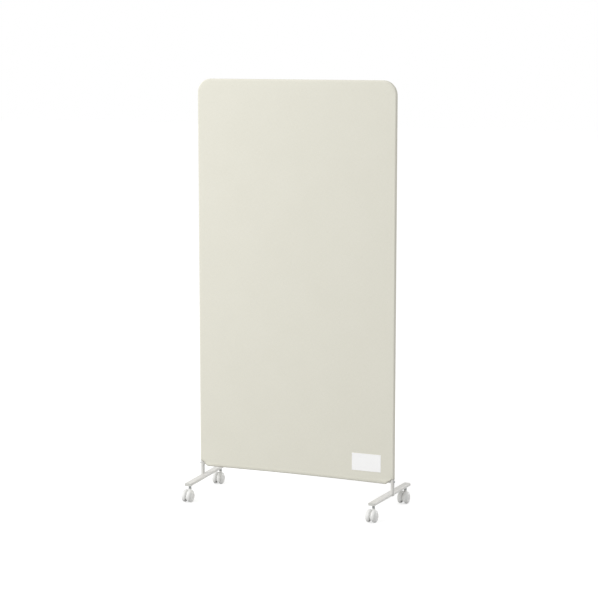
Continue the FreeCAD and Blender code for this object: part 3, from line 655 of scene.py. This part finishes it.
def hem_lift(x, up):
    """How far the tight hem is drawn up at a distance from the middle and a height above its edge."""
    cover = sizes().cover
    return cover.hem_bow * max(0.0, 1 - (x / HEM_X) ** 2) * max(0.0, 1 - up / cover.hem_fade) ** 2


def sew_straight(bm, stitch, start, end, outward):
    """A straight row of stitches between two points."""
    along = (end - start).normalized()
    frame_of_row = Matrix((along, outward.cross(along), outward)).transposed()
    sew(bm, stitch, (end - start).length, lambda co: start + frame_of_row @ co)


def rim_place(distance, radius):
    """Point and outward direction on the cover's rim, measured from the middle of the top."""
    side = math.copysign(1, distance)
    past = abs(distance) - BEND_X
    angle = min(max(past / radius, 0.0), math.pi / 2)
    down = max(past - radius * math.pi / 2, 0.0)
    out = Vector((side * math.sin(angle), 0, math.cos(angle)))
    foot = Vector((side * min(abs(distance), BEND_X), 0, BEND_Z - down))
    return foot + out * radius, out


def sew_rim(bm, sewing, cover):
    """Topstitching on both sides of the seam that runs round the cover."""
    inner = cover.seam_width / 2
    edge = HALF_DEPTH - inner
    offset = sewing.seam_offset - inner
    reach = math.sqrt(edge ** 2 - offset ** 2)
    radius = BEND_RADIUS + reach
    half_run = BEND_X + radius * math.pi / 2 + BEND_Z - NOTCH_Z
    for face in SIDES.values():
        def place(co, face=face):
            foot, out = rim_place(co.x - half_run, radius)
            tilt = Vector((0, face * offset, 0))
            outward = (out * reach + tilt) / edge
            across = (Vector((0, face * reach, 0)) - out * offset) / edge
            return foot + Vector((0, face * sewing.seam_offset, 0)) + outward * co.z + across * co.y
        sew(bm, topstitch(), 2 * half_run, place)


class SCREEN_OT_cover_stitching(bpy.types.Operator):
    """Sew the cover's edge seam, hem and cut-away corners"""
    bl_idname = "partition_screen.cover_stitching"
    bl_label = "Cover stitching"

    def execute(self, context):
        cover, sewing = sizes().cover, sizes().sewing
        bm = bmesh.new()
        sew_rim(bm, sewing, cover)
        row = HEM_Z + cover.hem_depth - sewing.hem_offset
        for face in SIDES.values():
            outward = Vector((0, face, 0))
            depth = face * (HALF_DEPTH + cover.hem_rise)
            start = Vector((-HEM_X, depth, row))
            sew_straight(bm, topstitch(), start, start + Vector((2 * HEM_X, 0, 0)), outward)
        for vert in bm.verts:
            if abs(vert.co.x) < HEM_X and vert.co.z < row + sewing.thread:
                vert.co.z += hem_lift(vert.co.x, vert.co.z - HEM_Z)
        for face in SIDES.values():
            for sign in SIDES.values():
                start = Vector((sign * HEM_X, face * HALF_DEPTH, row))
                end = Vector((sign * POST_X, face * HALF_DEPTH, row + NOTCH_Z - HEM_Z))
                sew_straight(bm, topstitch(), start, end, Vector((0, face, 0)))
        finished_piece(bm, "cover_stitching", "screen", finish_for("thread"))
        return {"FINISHED"}


class SCREEN_OT_overlock(bpy.types.Operator):
    """Overlock the cover's lower edge, from one post round the hem to the other; the thread's dark colour
    is painted shade along the hem's fold and the cut-away edges
    """
    bl_idname = "partition_screen.overlock"
    bl_label = "Overlocked edge"

    def execute(self, context):
        cover, sewing = sizes().cover, sizes().sewing
        # The loops reach a little past the edge that they bind.
        inset = sewing.edge_width / 3
        bm = bmesh.new()
        for face in SIDES.values():
            outward = Vector((0, face * math.cos(sewing.edge_angle), -math.sin(sewing.edge_angle)))
            core_y = face * (HALF_DEPTH + cover.hem_rise - cover.fold_radius)
            core = Vector((0, core_y, HEM_Z + cover.fold_radius))
            start = core + outward * cover.fold_radius - Vector((HEM_X, 0, 0))
            sew_straight(bm, overlock(), start, start + Vector((2 * HEM_X, 0, 0)), outward)
        for vert in bm.verts:
            vert.co.z += hem_lift(vert.co.x, vert.co.z - HEM_Z)
        for sign in SIDES.values():
            for face in SIDES.values():
                start = Vector((sign * HEM_X, face * HALF_DEPTH, HEM_Z + inset))
                end = Vector((sign * POST_X, face * HALF_DEPTH, NOTCH_Z + inset))
                sew_straight(bm, overlock(), start, end, Vector((0, face, 0)))

            def place(co, sign=sign):
                angle = co.x / TUBE_REACH - math.pi / 2
                out = Vector((sign * math.cos(angle), math.sin(angle), 0))
                return Vector((sign * POST_X, 0, NOTCH_Z + inset + co.y)) + out * (TUBE_REACH + co.z)
            sew(bm, overlock(), math.pi * TUBE_REACH, place)
        finished_piece(bm, "edge_overlock", "screen", finish_for("overlock"))
        return {"FINISHED"}


# Label

class SCREEN_OT_label(bpy.types.Operator):
    """Make the plain label that is sewn low on the front"""
    bl_idname = "partition_screen.label"
    bl_label = "Sewn label"

    def execute(self, context):
        label, sewing = sizes().label, sizes().sewing
        low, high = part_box("label_tag")
        seat = -HALF_DEPTH
        bm = bmesh.new()
        middle = Matrix.Translation(
            ((low.x + high.x) / 2, seat - label.thickness / 2, (low.z + high.z) / 2))
        extent = Matrix.Diagonal((high.x - low.x, label.thickness, high.z - low.z, 1))
        bmesh.ops.create_cube(bm, size=1.0, matrix=middle @ extent)
        face = [f for f in bm.faces if f.normal.y < -SQUARE]
        bmesh.ops.inset_region(bm, faces=face, thickness=label.turned_edge, depth=0.0)
        bmesh.ops.inset_region(bm, faces=face, thickness=label.turned_rise, depth=-label.turned_rise / 2)
        corners = [e for e in bm.edges if abs(e.verts[0].co.y - e.verts[1].co.y) > label.thickness / 2]
        round_edges(bm, corners, label.corner, CORNER_STEPS)
        rim_angle = math.radians(60)
        rim = [e for e in bm.edges if e.is_manifold and e.calc_face_angle() > rim_angle
               and all(v.co.y < seat - label.thickness / 2 for v in e.verts)]
        round_edges(bm, rim, label.edge_bevel, EDGE_STEPS)
        piece = finished_piece(bm, "label_cloth", "screen", finish_for("label_cloth"),
                               replaces=("label_tag",))

        bm = bmesh.new()
        inset = sewing.label_offset
        front = seat - label.thickness
        corners = [Vector((x, front, z)) for x, z in (
            (low.x + inset, low.z + inset), (high.x - inset, low.z + inset),
            (high.x - inset, high.z - inset), (low.x + inset, high.z - inset))]
        for start, end in zip(corners, corners[1:] + corners[:1]):
            sew_straight(bm, topstitch(), start, end, Vector((0, -1, 0)))
        finished_piece(bm, "label_stitching", "screen", finish_for("label_cloth"))
        return {"FINISHED"}


# Welds between posts and legs

class SCREEN_OT_welds(bpy.types.Operator):
    """Lay the weld beads where the posts sit in the legs"""
    bl_idname = "partition_screen.welds"
    bl_label = "Weld beads"

    def execute(self, context):
        feet = sizes().feet
        for side, sign in SIDES.items():
            post_low, post_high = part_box(f"lower_post_{side}")
            leg_low, leg_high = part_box(f"leg_bar_{side}")
            centre = (post_low + post_high) / 2
            radius = (post_high.y - post_low.y) / 2
            opening = feet.weld_opening
            sweep = 2 * math.pi - 2 * opening
            bm = bmesh.new()
            for height in (leg_low.z, leg_high.z):
                hub = Vector((centre.x, centre.y, height))
                start = Matrix.Rotation(opening if sign > 0 else math.pi - opening, 4, "Z")
                ring = bmesh.ops.create_circle(
                    bm, segments=feet.weld_sides, radius=feet.weld_radius, cap_ends=True,
                    matrix=Matrix.Translation(hub) @ start @ Matrix.Translation((radius, 0, 0))
                    @ Matrix.Rotation(math.pi / 2, 4, "X"))
                faces = list({f for v in ring["verts"] for f in v.link_faces})
                bmesh.ops.spin(bm, geom=faces, cent=hub, axis=(0, 0, 1), angle=sign * sweep,
                               steps=feet.weld_steps)
            for vert in bm.verts:
                height = leg_high.z if vert.co.z > (leg_low.z + leg_high.z) / 2 else leg_low.z
                arm = Vector((vert.co.x - centre.x, vert.co.y - centre.y, 0))
                core = Vector((centre.x, centre.y, height)) + arm.normalized() * radius
                wave = 1 + feet.weld_ripple * math.sin(math.atan2(arm.y, arm.x) * feet.weld_ripples)
                vert.co = core + (vert.co - core) * wave
            finished_piece(bm, f"weld_beads_{side}", "screen", finish_for("frame_enamel"))
        return {"FINISHED"}


# Casters

def ring_edges(bm, hub, x, radius):
    """The edges of a turned mesh that lie on one circle about the X axis."""
    def on_circle(vert):
        arm = math.hypot(vert.co.y - hub.y, vert.co.z - hub.z)
        return abs(vert.co.x - x) < SLACK and abs(arm - radius) < SLACK
    return [e for e in bm.edges if all(on_circle(v) for v in e.verts)]


def turn_outline(bm, centre, axis, outline, turns, closed=False, start=0.0, sweep=2 * math.pi):
    """Turn an outline of (distance along the axis, radius) points about X or Z.

    A closed outline gives a ring, and where it turns only part of the way, its two ends are flat.
    """
    x, z = Vector((1, 0, 0)), Vector((0, 0, 1))
    along, arm = (x, z) if axis == "X" else (z, x)
    verts = [bm.verts.new(centre + along * place + arm * radius) for place, radius in outline]
    loop = verts + verts[:1] if closed else verts
    geom = verts + [bm.edges.new(pair) for pair in zip(loop, loop[1:])]
    whole = math.isclose(sweep, 2 * math.pi)
    if not whole:
        geom.append(bm.faces.new(verts))
    bmesh.ops.rotate(bm, verts=verts, cent=centre, matrix=Matrix.Rotation(start, 3, axis))
    bmesh.ops.spin(bm, geom=geom, cent=centre, axis=along, angle=sweep, steps=turns, use_merge=whole)
    poles = [v for v in bm.verts if (v.co - centre).cross(along).length < SNAP]
    bmesh.ops.remove_doubles(bm, verts=poles, dist=SNAP)


class SCREEN_OT_wheels(bpy.types.Operator):
    """Turn the eight nylon wheels"""
    bl_idname = "partition_screen.wheels"
    bl_label = "Caster wheels"

    def execute(self, context):
        feet = sizes().feet
        for corner, hand in WHEELS:
            node = f"wheel_{corner}_{hand}"
            low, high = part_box(node)
            axle_low, axle_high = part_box(f"axle_{corner}")
            sign = SIDES[hand]
            hub = (low + high) / 2
            radius = (high.z - low.z) / 2
            bore = (axle_high.z - axle_low.z) / 2
            inner, outer = sign * (low.x - high.x) / 2, sign * (high.x - low.x) / 2
            floor = inner + sign * feet.recess_depth
            dish = outer - sign * feet.dish_depth
            rim = radius - feet.rim_wall
            end = (axle_high.x if sign > 0 else axle_low.x) - hub.x
            quarter = [math.pi / 2 * i / feet.dome_steps for i in range(feet.dome_steps + 1)]
            edge = [(inner + sign * feet.tread_round * (1 - math.cos(turn)),
                     radius - feet.tread_round * (1 - math.sin(turn))) for turn in quarter]
            dome = [(outer - sign * feet.dome_width * (1 - math.sin(turn)),
                     radius - feet.dome_rise * (1 - math.cos(turn))) for turn in quarter]
            outline = [
                (end, 0.0), (end, bore), (inner, bore), (inner, feet.hub_radius),
                (floor, feet.hub_radius), (floor, rim), (inner, rim), *edge, *dome,
                (outer, feet.dish_radius), (dish, feet.dish_radius),
                (dish, feet.cap_radius), (outer, feet.cap_radius), (outer, 0.0)]
            bm = bmesh.new()
            turn_outline(bm, hub, "X", outline, feet.wheel_steps)
            for place in (outer, dish):
                for ring in (feet.dish_radius, feet.cap_radius):
                    round_edges(bm, ring_edges(bm, hub, hub.x + place, ring), feet.soft_edge, EDGE_STEPS)
            finished_piece(bm, f"nylon_{node}", node, finish_for("caster_nylon"),
                           replaces=(node,))
        return {"FINISHED"}


class SCREEN_OT_hoods(bpy.types.Operator):
    """Mould the four hoods: two rounded fenders with a groove between, a web and the stem's boss"""
    bl_idname = "partition_screen.hoods"
    bl_label = "Caster hoods"

    def execute(self, context):
        feet = sizes().feet
        for corner in CORNERS:
            low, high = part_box(f"hood_{corner}")
            wheel_low, wheel_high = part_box(f"wheel_{corner}_right")
            bush_low, bush_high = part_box(f"swivel_bush_{corner}")
            axle_low, axle_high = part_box(f"axle_{corner}")
            hub = (axle_low + axle_high) / 2
            stem = (bush_low + bush_high) / 2
            tread = (wheel_high.z - wheel_low.z) / 2
            top = high.z - hub.z
            side = (high.x - low.x) / 2
            web = feet.web / 2
            fender = [*FENDER_CROWN, *((side - place, drop) for place, drop in FENDER_RIM),
                      (side - feet.fender_lip, feet.fender_wall), (web, feet.fender_wall)]
            half = [(place, top - drop) for place, drop in fender] + [(web, feet.hub_radius)]
            outline = half + [(-place, radius) for place, radius in reversed(half[1:])]
            bm = bmesh.new()
            turn_outline(bm, hub, "X", outline, feet.hood_steps, closed=True,
                         start=feet.hood_rear - math.pi / 2, sweep=feet.hood_sweep)
            ends = [f for f in bm.faces if len(f.verts) > 4]
            round_edges(bm, list({e for f in ends for e in f.edges}), feet.soft_edge / 2, EDGE_STEPS)
            bore = (axle_high.z - axle_low.z) / 2
            knob = feet.hub_radius + feet.web_rise
            turn_outline(bm, hub, "X", [(-web, bore), (web, bore), (web, knob), (-web, knob)],
                         feet.web_steps, closed=True)
            shell = (bush_high.x - bush_low.x) / 2
            pin = shell - feet.boss_wall
            foot = Vector((stem.x, stem.y, high.z))
            deep = bush_low.z - high.z
            turn_outline(bm, foot, "Z", [(deep, pin), (deep, shell), (-feet.soft_edge, shell),
                                         (-feet.soft_edge / 4, shell - feet.soft_edge / 4),
                                         (0.0, shell - feet.soft_edge), (0.0, pin)],
                         feet.boss_steps, closed=True)
            finished_piece(bm, f"nylon_hood_{corner}", f"caster_{corner}",
                           finish_for("caster_nylon"), replaces=(f"hood_{corner}",))
        return {"FINISHED"}


class SCREEN_OT_finishes(bpy.types.Operator):
    """Give every solid of the frame its finish"""
    bl_idname = "partition_screen.finishes"
    bl_label = "Frame finishes"

    def execute(self, context):
        slots = {part["node"]: part["material_slot"] for part in frame["record"]["subparts"]}
        for node, piece in frame["nodes"].items():
            piece.data.materials.clear()
            piece.data.materials.append(finish_for(slots[node]))
        return {"FINISHED"}


# Stage

def seen_directly(tree):
    """1 for what the camera, a reflection or a clear part shows, and 0 for light falling on things."""
    rays = add_node(tree, "ShaderNodeLightPath")
    glossy = add_node(tree, "ShaderNodeMath", {"operation": "MAXIMUM"}, {
        0: rays.outputs["Is Camera Ray"], 1: rays.outputs["Is Glossy Ray"]}).outputs[0]
    return add_node(tree, "ShaderNodeMath", {"operation": "MAXIMUM"}, {
        0: glossy, 1: rays.outputs["Is Transmission Ray"]}).outputs[0]


def white_paper(stage, colours):
    """Matt white studio paper, which shows white and still holds the object's shadow."""
    material, tree, shader = start_material("white_paper", {
        "Base Color": rgba(darker(colours.backdrop, stage.floor_tone)), "Roughness": 0.95,
        "Specular IOR Level": 0.1, "Emission Color": rgba(colours.backdrop)})
    glow = add_node(tree, "ShaderNodeMath", {"operation": "MULTIPLY"}, {
        0: seen_directly(tree), 1: stage.floor_glow}).outputs[0]
    tree.links.new(glow, shader.inputs["Emission Strength"])
    return material


def light_world(scene, stage, colours):
    """Even light from all around, in front of a white background."""
    world = bpy.data.worlds.new("studio")
    scene.world = world
    world.use_nodes = True
    tree = world.node_tree
    tree.nodes.clear()
    even = add_node(tree, "ShaderNodeBackground", {}, {
        "Color": rgba(colours.backdrop), "Strength": stage.ambient})
    shown = add_node(tree, "ShaderNodeBackground", {}, {"Color": rgba(colours.backdrop), "Strength": 1.0})
    mixed = add_node(tree, "ShaderNodeMixShader", {}, {
        0: seen_directly(tree), 1: even.outputs[0], 2: shown.outputs[0]})
    add_node(tree, "ShaderNodeOutputWorld", {}, {"Surface": mixed.outputs[0]})


def add_lamp(scene, name, place, target, width, power):
    """A square lamp that shines from a place to a target."""
    lamp = bpy.data.lights.new(name, "AREA")
    lamp.size = width
    lamp.energy = power
    holder = bpy.data.objects.new(name, lamp)
    holder.location = place
    holder.rotation_euler = (Vector(target) - Vector(place)).to_track_quat("-Z", "Y").to_euler()
    scene.collection.objects.link(holder)


class SCREEN_OT_stage(bpy.types.Operator):
    """Set the floor, the light and the camera"""
    bl_idname = "partition_screen.stage"
    bl_label = "Stage"

    def execute(self, context):
        scene = context.scene
        stage, colours = sizes().stage, sizes().colours
        middle = (CAD_BOX[0] + CAD_BOX[1]) / 2
        bm = bmesh.new()
        bmesh.ops.create_grid(bm, x_segments=1, y_segments=1, size=stage.floor_reach)
        mesh = bpy.data.meshes.new("paper_floor")
        bm.to_mesh(mesh)
        bm.free()
        mesh.materials.append(white_paper(stage, colours))
        floor = bpy.data.objects.new("paper_floor", mesh)
        scene.collection.objects.link(floor)
        light_world(scene, stage, colours)
        add_lamp(scene, "key", stage.key_place, middle, stage.key_width, stage.key_power)
        add_lamp(scene, "fill", stage.fill_place, middle, stage.fill_width, stage.fill_power)
        camera = bpy.data.objects.new("camera", bpy.data.cameras.new("camera"))
        camera.data.lens = stage.lens
        camera.data.sensor_width = SENSOR_WIDTH
        camera.location = stage.camera_place
        camera.rotation_euler = (math.pi / 2 - stage.camera_tilt, 0, stage.camera_turn)
        scene.collection.objects.link(camera)
        scene.camera = camera
        scene.view_settings.view_transform = "Standard"
        return {"FINISHED"}


class VIEW3D_PT_partition_screen(bpy.types.Panel):
    """The screen's pieces, one button each"""
    bl_label = "Partition screen"
    bl_space_type = "VIEW_3D"
    bl_region_type = "UI"
    bl_category = "Screen"

    def draw(self, context):
        for operator in OPERATORS:
            self.layout.operator(operator.bl_idname)
        settings = sizes()
        for group in ScreenSettings.__annotations__:
            box = self.layout.box()
            for name in getattr(settings, group).__annotations__:
                box.prop(getattr(settings, group), name)


GROUPS = (CoverSizes, SewingSizes, LabelSizes, FootSizes, ScreenColours, StageSettings, ScreenSettings)
OPERATORS = (SCREEN_OT_cover, SCREEN_OT_cover_stitching, SCREEN_OT_overlock, SCREEN_OT_label,
             SCREEN_OT_welds, SCREEN_OT_wheels, SCREEN_OT_hoods, SCREEN_OT_finishes, SCREEN_OT_stage)


def register():
    for cls in (*GROUPS, *OPERATORS, VIEW3D_PT_partition_screen):
        bpy.utils.register_class(cls)
    bpy.types.Scene.partition_screen = PointerProperty(type=ScreenSettings)


def unregister():
    del bpy.types.Scene.partition_screen
    for cls in reversed((*GROUPS, *OPERATORS, VIEW3D_PT_partition_screen)):
        bpy.utils.unregister_class(cls)


def main():
    register()
    bpy.ops.partition_screen.cover()
    bpy.ops.partition_screen.cover_stitching()
    bpy.ops.partition_screen.overlock()
    bpy.ops.partition_screen.label()
    bpy.ops.partition_screen.welds()
    bpy.ops.partition_screen.wheels()
    bpy.ops.partition_screen.hoods()
    bpy.ops.partition_screen.finishes()
    bpy.ops.partition_screen.stage()


if __name__ == "__main__":
    main()
